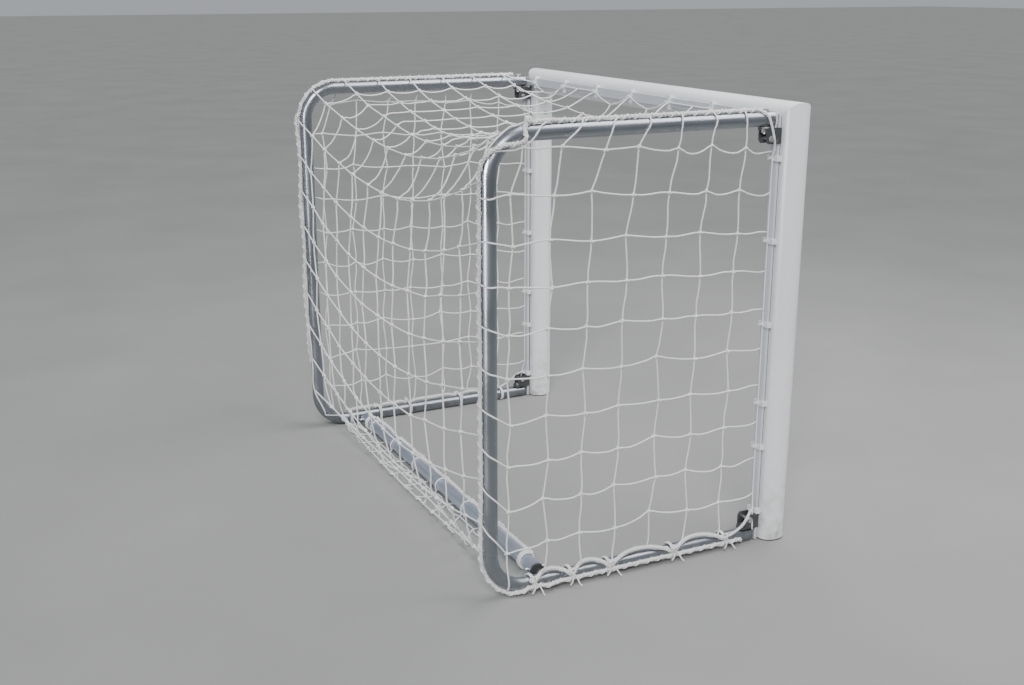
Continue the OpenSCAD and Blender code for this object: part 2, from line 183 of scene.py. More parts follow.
def border_route(side):
    """Route of a side frame's border rope, as the CAD has it. side is -1 for left, 1 for right."""
    off = ROPE_OFFSET
    top_end, low_end = TOP_Z - BEND_R, LOW_Z + BEND_R
    route = [(0, ROPE_START + (BEND_Y - ROPE_START) * i / 5, TOP_Z + off) for i in range(5)]
    route += [(0, y, z) for y, z in arc_points(BEND_Y, top_end, BEND_R + off, 90, 0, 10)]
    route += [(0, UPRIGHT_Y + off, top_end - UPRIGHT_STEP * i) for i in range(1, 6)]
    for angle in range(15, 90, 15):
        turn = math.radians(angle)
        route.append((-off * math.sin(turn), UPRIGHT_Y + off * math.cos(turn),
                      top_end - UPRIGHT_RUN - 0.002 * angle))
    route += [(-off, y, z) for y, z in arc_points(BEND_Y, low_end, BEND_R, 0, -90, 8)]
    for angle in range(0, 361, 45):
        bump = 0.0035 * (1 - math.cos(math.radians(angle)))
        route.append((-off - bump, BAR_Y + BRACKET_REACH - 2 * BRACKET_REACH * angle / 360, LOW_Z))
    near = BAR_Y - BRACKET_REACH
    route += [(-off, near + (ROPE_START - near) * i / 5, LOW_Z) for i in range(1, 6)]
    return np.array([(side * (SIDE_X - dx), y, z) for dx, y, z in route])


# Points of the route on the top bend, the upright, the turn below it and the bottom bend
TOP_BEND, UPRIGHT, TURN, LOW_BEND = slice(5, 16), slice(15, 20), slice(21, 26), slice(26, 35)


def on_bend(side, slip, bend, centre_z):
    """Rope points on a bend. slip is the angle from the bend's outside toward the frame's outer
    face, and bend is the angle round the bend from +Y, both in degrees."""
    slip, bend = np.radians(slip), np.radians(bend)
    reach = BEND_R + ROPE_OFFSET * np.cos(slip)
    return np.stack([side * (SIDE_X + ROPE_OFFSET * np.sin(slip)), BEND_Y + reach * np.cos(bend),
                     centre_z + reach * np.sin(bend)], axis=1)


def rope_route(side):
    """The border rope as it lies: in scallops behind the upright. On the left side it has slipped
    round the outer face of the top bend, and it passes under the bottom bend."""
    route = border_route(side)
    if side > 0:
        route[UPRIGHT, 1] += (0.008, 0.001, 0.007, 0.000, 0.006)
        return route
    route[UPRIGHT, 1] += (0.001, 0.000, 0.002, 0.000, 0.001)
    route[TOP_BEND] = on_bend(side, (15, 105, 128, 118, 96, 72, 48, 26, 10, 2, 0),
                              np.linspace(90, 0, 11), TOP_Z - BEND_R)
    route[TURN, :2] = on_bend(side, (0, 0, -4, -8, -12), np.zeros(5), 0)[:, :2]
    route[LOW_BEND] = on_bend(side, (-18, -25, -28, -20, -5, 15, 42, 70, 90),
                              np.linspace(0, -90, 9), LOW_Z + BEND_R)
    return route


def foot_cord(side):
    """The cord that carries the side net's foot: tied low on the tube's outer side, and drawn
    up over the tube between the ties."""
    points = []
    for first, second in zip(TIE_Y[:-1], TIE_Y[1:]):
        for t in np.linspace(0, 1, 9)[:-1]:
            points.append((first + (second - first) * t, math.sin(math.pi * t)))
    points.append((TIE_Y[-1], 0.0))
    route = []
    for y, lift in points:
        turn = math.radians(66) * (1 - lift)
        reach = TUBE_R + CORD_R + 0.001 + 0.003 * lift
        route.append((side * (SIDE_X + reach * math.sin(turn)), y, LOW_Z + reach * math.cos(turn)))
    return np.array(route)


# ---------------------------------------- materials

class Paint:
    """A node-based material built on one Principled shader."""

    def __init__(self, name, colour, roughness, metallic=0.0, **sockets):
        self.material = bpy.data.materials.new(name)
        self.material.use_nodes = True
        self.tree = self.material.node_tree
        self.shader = self.tree.nodes["Principled BSDF"]
        self.set(self.shader, "Base Color", (*colour, 1))
        self.set(self.shader, "Roughness", roughness)
        self.set(self.shader, "Metallic", metallic)
        for socket, value in sockets.items():
            self.set(self.shader, socket.replace("_", " "), value)
        self.place = self.tree.nodes.new("ShaderNodeTexCoord")

    def set(self, node, socket, value):
        if isinstance(value, bpy.types.NodeSocket):
            self.tree.links.new(value, node.inputs[socket])
        else:
            node.inputs[socket].default_value = value

    def node(self, kind, settings=(), **inputs):
        made = self.tree.nodes.new(kind)
        for name, value in dict(settings).items():
            setattr(made, name, value)
        for socket, value in inputs.items():
            self.set(made, socket.replace("_", " "), value)
        return made

    def noise(self, scale, detail, stretch=(1, 1, 1), rough=0.5):
        """Noise in the object's coordinates, stretched by a factor on each axis."""
        spot = self.node("ShaderNodeMapping", Vector=self.place.outputs["Object"], Scale=stretch)
        return self.node("ShaderNodeTexNoise", Vector=spot.outputs[0], Scale=scale,
                         Detail=detail, Roughness=rough).outputs[0]

    def fit(self, value, low, high, from_low=0.3, from_high=0.7):
        """A value mapped from one range to another, and kept inside it."""
        made = self.node("ShaderNodeMapRange", Value=value, From_Min=from_low,
                         From_Max=from_high, To_Min=low, To_Max=high)
        return made.outputs[0]

    def mix(self, factor, first, second):
        made = self.tree.nodes.new("ShaderNodeMix")
        made.data_type = "RGBA"
        for index, value in ((0, factor), (6, first), (7, second)):
            if isinstance(value, bpy.types.NodeSocket):
                self.tree.links.new(value, made.inputs[index])
            else:
                made.inputs[index].default_value = (*value, 1)
        return made.outputs[2]

    def maths(self, operation, first, second):
        made = self.tree.nodes.new("ShaderNodeMath")
        made.operation = operation
        self.set(made, 0, first)
        self.set(made, 1, second)
        return made.outputs[0]

    def colour(self, value):
        self.set(self.shader, "Base Color", value)

    def roughness(self, value):
        self.set(self.shader, "Roughness", value)

    def bump(self, height, strength, distance):
        made = self.node("ShaderNodeBump", Height=height, Strength=strength, Distance=distance)
        self.set(self.shader, "Normal", made.outputs[0])

    def axis(self, index, source="Object"):
        """One axis of the object's coordinates, or of its normals or UV map."""
        split = self.node("ShaderNodeSeparateXYZ", Vector=self.place.outputs[source])
        return split.outputs[index]

    def near_ground(self, top):
        """1 at the ground, falling to 0 at height top."""
        return self.fit(self.axis(2), 1.0, 0.0, 0.0, top)


def powder_coat():
    """White powder coat: fine orange peel, faint cloudiness, grey-green marks by the ground,
    painted shade as a dark line in the groove behind the rail's head, and a rail head painted grey
    as shade."""
    paint = Paint("white_powder_coat", (0.80, 0.81, 0.84), 0.34,
                  Coat_Weight=0.25, Coat_Roughness=0.2)
    cloud = paint.noise(2.2, 4)
    grime = paint.maths("MULTIPLY", paint.near_ground(0.22),
                        paint.fit(paint.noise(34, 6), 0, 0.75, 0.45, 0.75))
    scuff = paint.fit(paint.noise(16, 7, (1, 1, 7), 0.7), 0, 0.22, 0.66, 0.78)
    base = paint.mix(paint.fit(cloud, 0, 1), (0.78, 0.79, 0.82), (0.86, 0.87, 0.90))
    base = paint.mix(scuff, base, (0.42, 0.43, 0.44))
    depth = paint.axis(1)
    # painted shade: the rail head at the profile's rear is painted bluish grey as if in shade
    base = paint.mix(paint.fit(depth, 0, 1, RAIL_Y - 0.001, RAIL_Y), base, (0.60, 0.63, 0.69))
    # painted shade: a dark line in the groove between the profile's body and the rail's head
    painted_groove_shade = paint.maths("MULTIPLY", paint.fit(depth, 0, 1, PROFILE_Y, PROFILE_Y + 0.001),
                            paint.fit(depth, 1, 0, RAIL_Y - 0.0005, RAIL_Y + 0.0005))
    base = paint.mix(painted_groove_shade, base, (0.17, 0.18, 0.20))
    paint.colour(paint.mix(grime, base, (0.23, 0.25, 0.17)))
    paint.roughness(paint.fit(paint.noise(9, 5), 0.28, 0.42))
    paint.bump(paint.noise(900, 2), 0.10, 0.0004)
    return paint.material


def drawn_aluminium(name, light, dark, stretch):
    """Mill-finish aluminium with die lines along its length, dull patches and small scratches."""
    paint = Paint(name, light, 0.3, 1.0)
    lines = paint.noise(1.0, 5, stretch, 0.65)
    dull = paint.noise(7, 5)
    scratch = paint.fit(paint.noise(60, 3, (1, 0.25, 0.25)), 0, 0.5, 0.68, 0.74)
    base = paint.mix(paint.fit(lines, 0, 1, 0.35, 0.65), dark, light)
    paint.colour(paint.mix(scratch, base, (0.75, 0.76, 0.78)))
    paint.roughness(paint.fit(dull, 0.24, 0.44))
    paint.bump(lines, 0.16, 0.0006)
    return paint.material


def bent_tube_aluminium():
    """The same finish for the bent tubes: the die lines follow the round of the tube's surface."""
    paint = Paint("mill_aluminium", (0.34, 0.36, 0.39), 0.3, 1.0)
    lines = paint.node("ShaderNodeTexNoise", {"noise_dimensions": "1D"}, W=paint.axis(0, "Normal"),
                       Scale=42.0, Detail=5.0, Roughness=0.7).outputs[0]
    dull = paint.noise(6, 5)
    stain = paint.fit(paint.noise(28, 6, rough=0.65), 0, 0.45, 0.55, 0.72)
    base = paint.mix(paint.fit(lines, 0, 1, 0.3, 0.7), (0.22, 0.24, 0.27), (0.38, 0.40, 0.43))
    base = paint.mix(stain, base, (0.36, 0.37, 0.38))
    mud = paint.maths("MULTIPLY", paint.near_ground(0.06),
                      paint.fit(paint.noise(40, 6), 0, 0.7, 0.5, 0.7))
    paint.colour(paint.mix(mud, base, (0.16, 0.15, 0.10)))
    paint.roughness(paint.fit(dull, 0.22, 0.40))
    paint.bump(lines, 0.12, 0.0005)
    return paint.material


def speckled(name, first, second, roughness, metallic, scale, depth=0.0003):
    """A two-tone speckled finish: cast, plated or coated metal, and moulded plastic."""
    low, high = roughness
    paint = Paint(name, first, low, metallic)
    grain = paint.noise(scale, 5, rough=0.6)
    wear = paint.noise(scale / 9, 4)
    tone = paint.mix(paint.fit(grain, 0, 1, 0.35, 0.65), first, second)
    worn = tuple(min(1.0, 0.55 * c + 0.2) for c in second)
    paint.colour(paint.mix(paint.fit(wear, 0, 0.35, 0.58, 0.72), tone, worn))
    paint.roughness(paint.fit(grain, low, high))
    paint.bump(grain, 0.25, depth)
    return paint.material


def spun_fibre(name, light, dark, turns, slant, depth):
    """White spun fibre: slanted yarns from the strand's own coordinates, with loose fuzz, and
    painted shade as a darker tone in the grooves between the yarns.
    """
    paint = Paint(name, light, 0.85, Sheen_Weight=0.35, Sheen_Roughness=0.5)
    along = paint.maths("MULTIPLY", paint.axis(1, "UV"), turns)
    around = paint.maths("MULTIPLY", paint.axis(0, "UV"), slant)
    wave = paint.maths("SINE", paint.maths("ADD", along, around), 0.0)
    fuzz = paint.noise(1500, 3)
    dirt = paint.noise(5, 5)
    yarn_relief_and_shade = paint.fit(wave, 0, 1, -1, 1)
    # painted shade: the tone falls to the dark colour in the grooves between the yarns
    tone = paint.mix(yarn_relief_and_shade, dark, light)
    paint.colour(paint.mix(paint.fit(dirt, 0, 0.5, 0.5, 0.75), tone, tuple(c * 0.86 for c in dark)))
    paint.roughness(paint.fit(fuzz, 0.78, 0.95))
    paint.bump(paint.maths("ADD", yarn_relief_and_shade, paint.fit(fuzz, 0, 0.8)), 0.55, depth)
    return paint.material


# Each row: two colours, range of roughness, metallic, grain scale and, for clips, bump depth
SPECKLED = {
    "cast_aluminium": ((0.50, 0.51, 0.52), (0.42, 0.43, 0.44), (0.42, 0.6), 1.0, 700),
    "galvanised_steel": ((0.42, 0.50, 0.60), (0.30, 0.37, 0.47), (0.3, 0.5), 1.0, 160),
    "zinc_steel": ((0.72, 0.72, 0.70), (0.55, 0.55, 0.53), (0.24, 0.42), 1.0, 420),
    "bracket_steel": ((0.045, 0.05, 0.055), (0.09, 0.095, 0.10), (0.36, 0.55), 0.35, 500),
    "clip_plastic": ((0.84, 0.85, 0.87), (0.78, 0.79, 0.81), (0.28, 0.4), 0.0, 300, 0.0002),
    "black_plastic": ((0.035, 0.035, 0.038), (0.06, 0.06, 0.062), (0.5, 0.65), 0.0, 600),
    "nylon_washer": ((0.75, 0.74, 0.67), (0.66, 0.65, 0.58), (0.45, 0.6), 0.0, 500),
}


def make_materials():
    """Every material by its slot name."""
    made = {name: speckled(name, *row) for name, row in SPECKLED.items()}
    made["white_powder_coat"] = powder_coat()
    made["mill_aluminium"] = bent_tube_aluminium()
    made["bar_aluminium"] = drawn_aluminium("bar_aluminium", (0.62, 0.67, 0.76),
                                            (0.45, 0.50, 0.60), stretch=(2, 90, 90))
    # the second colour of each twine and rope is painted shade in the grooves between yarns, and
    # the base of its dirt
    made["net_twine"] = spun_fibre("net_twine", (0.93, 0.93, 0.94), (0.76, 0.76, 0.78),
                                   turns=2400.0, slant=math.tau, depth=0.0006)
    made["rope_white"] = spun_fibre("rope_white", (0.93, 0.93, 0.93), (0.74, 0.74, 0.75),
                                    turns=1500.0, slant=2 * math.tau, depth=0.0010)
    return made


MATERIALS = make_materials()


def finish_nodes():
    """Gives each CAD node its material, and smooth shading across its round faces."""
    slots = {row["node"]: row["material_slot"] for row in frame["record"]["subparts"]}
    for name, node in frame["nodes"].items():
        mesh = node.data
        mesh.materials.clear()
        mesh.materials.append(MATERIALS[slots[name]])
        mesh.polygons.foreach_set("material_index", [0] * len(mesh.polygons))
        mesh.polygons.foreach_set("use_smooth", [True] * len(mesh.polygons))
        if "custom_normal" in mesh.attributes:
            mesh.attributes.remove(mesh.attributes["custom_normal"])
        weld = node.modifiers.new("weld", "WELD")
        weld.merge_threshold = 0.00001
        split = node.modifiers.new("split", "EDGE_SPLIT")
        split.split_angle = math.radians(32)


# ---------------------------------------- strands as one mesh

class Strands:
    """Collects round strands and makes one mesh of them."""

    def __init__(self):
        self.points, self.quads, self.uvs, self.caps, self.count = [], [], [], [], 0

    def add(self, paths, radius, sides=6, normal=(0, 0, 1), closed=False):
        """Adds round strands. paths is (strands, points, 3), and normal is not along them."""
        paths = np.asarray(paths, float)
        if closed:
            tangent = np.roll(paths, -1, axis=1) - np.roll(paths, 1, axis=1)
        else:
            tangent = np.gradient(paths, axis=1)
        tangent /= np.linalg.norm(tangent, axis=2, keepdims=True) + 1e-12
        first = np.broadcast_to(np.asarray(normal, float), paths.shape)
        first = first - (first * tangent).sum(2, keepdims=True) * tangent
        first /= np.linalg.norm(first, axis=2, keepdims=True) + 1e-12
        second = np.cross(tangent, first)
        turn = np.arange(sides) * 2 * math.pi / sides
        radius = np.broadcast_to(np.asarray(radius, float), paths.shape[:2])[:, :, None, None]
        ring = (np.cos(turn)[None, None, :, None] * first[:, :, None, :]
                + np.sin(turn)[None, None, :, None] * second[:, :, None, :])
        points = paths[:, :, None, :] + radius * ring
        strands, steps = paths.shape[:2]
        index = self.count + np.arange(strands * steps * sides).reshape(strands, steps, sides)
        ahead = np.roll(index, -1, axis=1) if closed else index[:, 1:]
        here = index if closed else index[:, :-1]
        quads = np.stack([here, np.roll(here, -1, 2), np.roll(ahead, -1, 2), ahead], axis=-1)
        step = np.linalg.norm(np.diff(paths, axis=1), axis=2)
        run = np.concatenate([np.zeros((strands, 1)), np.cumsum(step, axis=1)], axis=1)
        run_ahead = run + 0.01 if closed else run[:, 1:]
        run_here = run if closed else run[:, :-1]
        u = np.broadcast_to(np.arange(sides) / sides, here.shape)
        v0 = np.broadcast_to(run_here[:, :, None], here.shape)
        v1 = np.broadcast_to(run_ahead[:, :, None], here.shape)
        edge = u + 1 / sides
        uv = np.stack([np.stack([u, v0], -1), np.stack([edge, v0], -1),
                       np.stack([edge, v1], -1), np.stack([u, v1], -1)], axis=3)
        self.points.append(points.reshape(-1, 3))
        self.quads.append(quads.reshape(-1, 4))
        self.uvs.append(uv.reshape(-1, 2))
        if not closed:
            for s in range(strands):
                self.caps.append([int(i) for i in index[s, 0][::-1]])
                self.caps.append([int(i) for i in index[s, -1]])
        self.count += points.reshape(-1, 3).shape[0]

    def mesh(self, name, material):
        """The finished mesh object."""
        mesh = bpy.data.meshes.new(name)
        faces = np.concatenate(self.quads).tolist() + self.caps
        mesh.from_pydata(np.concatenate(self.points).tolist(), [], faces)
        uvs = np.concatenate(self.uvs)
        spare = np.zeros((len(mesh.loops) - len(uvs), 2))
        layer = mesh.uv_layers.new(name="strand")
        layer.data.foreach_set("uv", np.concatenate([uvs, spare]).astype(np.float32).ravel())
        mesh.polygons.foreach_set("use_smooth", [True] * len(mesh.polygons))
        mesh.materials.append(material)
        mesh.update()
        return add_object(name, mesh)


def carried_frame(path):
    """Two unit vectors across a path at each point, carried along it without twist."""
    tangent = np.gradient(path, axis=0)
    tangent /= np.linalg.norm(tangent, axis=1, keepdims=True)
    start = np.cross(tangent[0], (0.31, 0.52, 0.79))
    first = [start / np.linalg.norm(start)]
    for t in tangent[1:]:
        n = first[-1] - np.dot(first[-1], t) * t
        first.append(n / np.linalg.norm(n))
    first = np.array(first)
    return first, np.cross(tangent, first)


def laid_rope(strands, path, radius, pitch):
    """A laid rope: three yarns wound round each other along a path."""
    yarns, points_per_turn = 3, 9
    length = path_length(path)
    count = max(12, int(length / pitch * points_per_turn))
    line = resample(path, count)
    first, second = carried_frame(line)
    turn = np.linspace(0, length / pitch * 2 * math.pi, count)
    lift, yarn_r = 0.5 * radius, 0.56 * radius
    for k in range(yarns):
        angle = turn + 2 * math.pi * k / yarns
        across = np.cos(angle)[:, None] * first + np.sin(angle)[:, None] * second
        strands.add((line + lift * across)[None], yarn_r, 6, across[None])


def fuzz(strands, path, radius, random):
    """Short loose fibres that stand out of a rope's surface."""
    count = int(path_length(path) * FIBRES_PER_METRE)
    line = resample(path, FINE_STEPS)
    first, second = carried_frame(line)
    spot = random.integers(0, FINE_STEPS, count)
    turn = random.uniform(0, 2 * math.pi, count)[:, None]
    out = np.cos(turn) * first[spot] + np.sin(turn) * second[spot]
    lean = random.normal(0, 0.8, (count, 3))
    length = random.uniform(0.0016, 0.0050, count)[:, None]
    root = line[spot] + out * radius * 0.8
    middle = root + (out + 0.4 * lean) * length * 0.6
    end = middle + (0.5 * out + lean) * length * 0.5
    strands.add(np.stack([root, middle, end], axis=1), FIBRE_R, 3, (0.3, 0.5, 0.81))


def rings(strands, centres, axes, ring_r, wire_r, points=9, sides=5):
    """Small closed rings of twine, each round its own axis."""
    axes = axes / np.linalg.norm(axes, axis=1, keepdims=True)
    side = np.cross(axes, (0.267, 0.535, 0.802))
    side /= np.linalg.norm(side, axis=1, keepdims=True)
    other = np.cross(axes, side)
    turn = np.arange(points) * 2 * math.pi / points
    loop = (np.cos(turn)[None, :, None] * side[:, None]
            + np.sin(turn)[None, :, None] * other[:, None])
    strands.add(centres[:, None] + ring_r * loop, wire_r, sides,
                np.broadcast_to(axes[:, None], loop.shape), closed=True)


def clip_rings(strands, centres, axis):
    """The rings that hold the net's edge to a row of clips."""
    axes = np.tile(axis, (len(centres), 1))
    rings(strands, np.array(centres), axes, RING_R, RING_WIRE, 12, 6)


def tie_knots(strands, centres, along, across, random):
    """A small two-turn knot at each centre, round the twines that cross there."""
    count = len(centres)
    tilt = random.normal(0, 0.35, (count, 3))
    shift = along / np.linalg.norm(along, axis=1, keepdims=True) * KNOT_SHIFT
    rings(strands, centres + shift, along + across * 0.5 + tilt, 0.0040, KNOT_WIRE)
    rings(strands, centres - shift, across - along * 0.4 - tilt, 0.0041, KNOT_WIRE)


# ---------------------------------------- relaxing the net

CLEAR = TUBE_R + TWINE_R + 0.0004
LOWEST_TWINE = TWINE_R * 1.05


def push_from_tubes(p):
    """Moves points out of the side tubes, the ground bar and the ground."""
    q = p.copy()
    sign = np.where(q[:, 0] < 0, -1.0, 1.0)
    dx = sign * q[:, 0] - SIDE_X
    half_y, half_z = 5.0, (TOP_Z - LOW_Z) / 2
    cy, cz = UPRIGHT_Y - half_y, (TOP_Z + LOW_Z) / 2
    ay, az = q[:, 1] - cy, q[:, 2] - cz
    ey, ez = np.abs(ay) - half_y + BEND_R, np.abs(az) - half_z + BEND_R
    oy, oz = np.maximum(ey, 0), np.maximum(ez, 0)
    outer = np.hypot(oy, oz)
    gap = outer + np.minimum(np.maximum(ey, ez), 0) - BEND_R
    corner = outer > 1e-9
    safe = np.where(corner, outer, 1)
    gy = np.where(corner, oy / safe, (ey >= ez).astype(float)) * np.sign(ay)
    gz = np.where(corner, oz / safe, (ey < ez).astype(float)) * np.sign(az)
    distance = np.hypot(gap, dx)
    inside = (distance < CLEAR) & (q[:, 1] > tube_low.y)
    scale = np.where(inside, CLEAR / np.maximum(distance, 1e-6) - 1, 0)
    q[:, 0] += sign * dx * scale
    q[:, 1] += gy * gap * scale
    q[:, 2] += gz * gap * scale
    by, bz = q[:, 1] - BAR_Y, q[:, 2] - BAR_Z
    reach = np.hypot(by, bz)
    hit = (reach < CLEAR) & (np.abs(q[:, 0]) < BAR_HALF)
    scale = np.where(hit, CLEAR / np.maximum(reach, 1e-6) - 1, 0)
    q[:, 1] += by * scale
    q[:, 2] += bz * scale
    q[:, 2] = np.maximum(q[:, 2], LOWEST_TWINE)
    return q


class Net:
    """A grid of knots with spare points along the twine between them."""

    def __init__(self, columns, rows, place, seed, slack_across, slack_down):
        self.columns, self.rows, self.parts = columns, rows, SPARE_POINTS
        self.random = np.random.default_rng(seed)
        n, cells = self.parts - 1, (columns + 1) * (rows + 1)
        self.knots = np.arange(cells).reshape(columns + 1, rows + 1)
        across = cells + np.arange(columns * (rows + 1) * n).reshape(columns, rows + 1, n)
        down = across.max() + 1 + np.arange((columns + 1) * rows * n).reshape(columns + 1, rows, n)
        self.across = self.joined(self.knots.T, across.transpose(1, 0, 2))
        self.down = self.joined(self.knots, down)
        corners = np.array([[place(i / columns, j / rows) for j in range(rows + 1)]
                            for i in range(columns + 1)])
        self.points = np.zeros((down.max() + 1, 3))
        self.points[self.knots] = corners
        for strand in (self.across, self.down):
            for k in range(1, self.parts):
                share = k / self.parts
                start, end = strand[:, :-1:self.parts], strand[:, self.parts::self.parts]
                between = (1 - share) * self.points[start] + share * self.points[end]
                self.points[strand[:, k::self.parts]] = between
        self.rests = [self.rest(self.across, slack_across), self.rest(self.down, slack_down)]
        self.weight = np.ones(len(self.points))

    def joined(self, knots, between):
        """Point numbers along each strand: a knot, its spare points, the next knot and so on."""
        lines = [np.concatenate([k[:-1, None], b], axis=1).ravel() for k, b in zip(knots, between)]
        return np.array([np.append(line, k[-1]) for line, k in zip(lines, knots)])

    def rest(self, strand, slack):
        """Twine length of each step along each strand, a little uneven from mesh to mesh."""
        start, end = self.points[strand[:, :-1]], self.points[strand[:, 1:]]
        length = np.linalg.norm(end - start, axis=2)
        cells = length.shape[1] // self.parts
        uneven = 1 + np.clip(self.random.normal(0, 0.018, (len(strand), cells)), -0.03, 0.05)
        return length * slack * np.repeat(uneven, self.parts, axis=1)

    def pin(self, numbers, places=None):
        numbers = np.asarray(numbers)
        self.weight[numbers] = 0
        if places is not None:
            self.points[numbers] = places

    def relax(self, steps, passes, drop, push):
        """Lets the net settle: twine only pulls, and gravity draws every point down. The last
        steps leave gravity out, which takes the last stretch out of the twine."""
        links = []
        for strand, rest in ((self.across, self.rests[0]), (self.down, self.rests[1])):
            last = strand.shape[1] - 1
            for first in (0, 1):
                a = strand[:, first:last:2].ravel()
                b = strand[:, first + 1:last + 1:2].ravel()
                share = self.weight[a] + self.weight[b]
                keep = share > 0
                links.append((a[keep], b[keep], rest[:, first:last:2].ravel()[keep],
                              (self.weight[a] / np.maximum(share, 1))[keep][:, None],
                              (self.weight[b] / np.maximum(share, 1))[keep][:, None]))
        p, before = self.points.copy(), self.points.copy()
        free = self.weight > 0
        settling, damping = steps - steps // 8, 0.96
        for step in range(steps):
            move = (p - before) * damping
            before = p.copy()
            if step < settling:
                p[free] += move[free]
                p[free, 2] -= drop
            for k in range(passes):
                for a, b, rest, wa, wb in links:
                    d = p[b] - p[a]
                    length = np.sqrt((d * d).sum(1)) + 1e-9
                    pull = (np.maximum(length - rest, 0) / length)[:, None] * d
                    p[a] += wa * pull
                    p[b] -= wb * pull
                if k % 3 == 2:
                    p[free] = push(p[free])
        self.points = p

    def zigzag(self, amount, direction):
        """Shifts knots to alternate sides, because each knot joins its twines side by side."""
        shift = np.zeros(len(self.points))
        for strand in (self.across, self.down):
            step = np.arange(strand.shape[1]) / self.parts
            for k, line in enumerate(strand):
                shift[line] = np.cos(math.pi * (step + k))
        uneven = 1 + 0.5 * self.random.standard_normal(len(self.knots.ravel()))
        scale = np.ones(len(self.points))
        scale[self.knots.ravel()] = np.clip(uneven, 0.2, 1.8)
        self.points += (amount * shift * scale * (self.weight > 0))[:, None] * np.asarray(direction)

    def build(self, strands, push, skip_across=(), skip_down=()):
        """Adds the net's twines and knots to strands."""
        rows = [j for j in range(self.rows + 1) if j not in skip_across]
        columns = [i for i in range(self.columns + 1) if i not in skip_down]
        for lines, normal in ((self.across[rows], (0.1, 0.35, 0.93)),
                              (self.down[columns], (0.95, 0.3, 0.05))):
            curve = smooth(self.points[lines], 2)
            shape = curve.shape
            curve = push(curve.reshape(-1, 3)).reshape(shape)
            strands.add(curve, TWINE_R, 6, normal)
        inner = self.knots[1:-1, 1:-1]
        centres = self.points[inner].reshape(-1, 3)
        knot = self.points[self.knots]
        along = (knot[2:, 1:-1] - knot[:-2, 1:-1]).reshape(-1, 3)
        across = (knot[1:-1, 2:] - knot[1:-1, :-2]).reshape(-1, 3)
        along /= np.linalg.norm(along, axis=1, keepdims=True)
        across /= np.linalg.norm(across, axis=1, keepdims=True)
        tie_knots(strands, centres, along, across, self.random)


# ---------------------------------------- the side nets

EDGE_STEPS = 400


def side_edges(side):
    """The side net's four edges as paths: front, rear, top and bottom."""
    route = rope_route(side)
    run = np.concatenate([[0], np.cumsum(np.linalg.norm(np.diff(route, axis=0), axis=1))])
    top_bend = run[4] + (run[14] - run[4]) * 0.55   # where the top edge ends
    low_bend = run[24] + (run[32] - run[24]) * 0.5  # where the foot begins
    line = resample(route, 3 * EDGE_STEPS)
    at = np.linspace(0, run[-1], 3 * EDGE_STEPS)
    top = line[at <= top_bend]
    rear = line[(at >= top_bend) & (at <= low_bend)][::-1]
    under = line[at >= low_bend][::-1]
    x = side * SIDE_X
    wide = side * (SIDE_X + TUBE_R + 0.003)
    front = np.array([(wide, EDGE_TWINE_Y + 0.012, LOW_Z + 0.02),
                      (x, EDGE_TWINE_Y, POST_CLIP_Z[0]),
                      (x, EDGE_TWINE_Y, POST_CLIP_Z[-1]),
                      (wide, EDGE_TWINE_Y + 0.01, TOP_Z + 0.02)])
    top = np.concatenate([front[-1:], top])
    behind_cord = under[under[:, 1] > TIE_Y[0] + 0.01]
    bottom = np.concatenate([front[:1], foot_cord(side)[::-1], behind_cord])
    return front, rear, top, bottom


def make_side_net(side, seed):
    """A side panel, tied to the border rope on three sides and to the post's clips in front."""
    front, rear, top, bottom = (resample(edge, EDGE_STEPS) for edge in side_edges(side))

    def pick(edge, share):
        return edge[int(round(share * (EDGE_STEPS - 1)))]

    def place(u, v):
        """u from the post to the upright, v from the ground to the top."""
        left, right, low, high = pick(front, v), pick(rear, v), pick(bottom, u), pick(top, u)
        foot = (1 - u) * front[0] + u * rear[0]
        head = (1 - u) * front[-1] + u * rear[-1]
        flat = (1 - v) * foot + v * head
        return (1 - u) * left + u * right + (1 - v) * low + v * high - flat

    net = Net(SIDE_COLUMNS, SIDE_ROWS, place, seed, slack_across=1.003, slack_down=1.002)
    behind_post = net.points[:, 1] > PIVOT_Y
    outward, outside = side * net.points[behind_post, 0], SIDE_X + 0.004
    net.points[behind_post, 0] = side * np.maximum(outward, outside)
    net.pin(net.knots[1:, 0])
    net.pin(net.knots[1:, -1])
    net.pin(net.knots[-1, :])
    net.pin(net.down[0])

    def push(p):
        out = p.copy()
        near_tube = out[:, 1] > PIVOT_Y + 0.04
        out[near_tube, 0] = side * np.maximum(side * out[near_tube, 0], outside)
        out = push_from_tubes(out)
        out[:, 1] = np.maximum(out[:, 1], EDGE_TWINE_Y)
        return out

    net.relax(320, passes=20, drop=0.00015, push=push)
    net.zigzag(ZIGZAG, (0, 0.8, 0.8))
    return net, push


def side_net_piece(name, side, seed):
    """The side net as one mesh, with the rings that hold it to the clips."""
    net, push = make_side_net(side, seed)
    strands = Strands()
    net.build(strands, push, skip_across=(0, SIDE_ROWS), skip_down=(SIDE_COLUMNS,))
    clip_rings(strands, [(side * SIDE_X, RING_Y, z) for z in POST_CLIP_Z], (0.0, 0.0, 1.0))
    strands.add(smooth(corner_rope(side)[None], 6), 0.0030, 8, (0.9, 0.3, 0.1))
    piece = strands.mesh(name, MATERIALS["net_twine"])
    label = side_name(side)
    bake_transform(piece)
    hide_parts(label + "_side_net")


def corner_rope(side):
    """The head rope's tail: from the top clip of the post up the hinge's outer side to the rope."""
    x = side * SIDE_X
    out = side * (SIDE_X + TUBE_R + 0.0045)
    return np.array([(x, EDGE_TWINE_Y + 0.002, POST_CLIP_Z[-1]),
                     (side * (SIDE_X + 0.012), EDGE_TWINE_Y + 0.004, 1.085),
                     (out, PIVOT_Y - 0.012, 1.115), (out + side * 0.001, PIVOT_Y + 0.004, TOP_Z),
                     (side * (SIDE_X + 0.016), PIVOT_Y + 0.012, TOP_Z + 0.0175),
                     (x, ROPE_START + 0.004, TOP_Z + ROPE_OFFSET)])


# ---------------------------------------- the top and back net

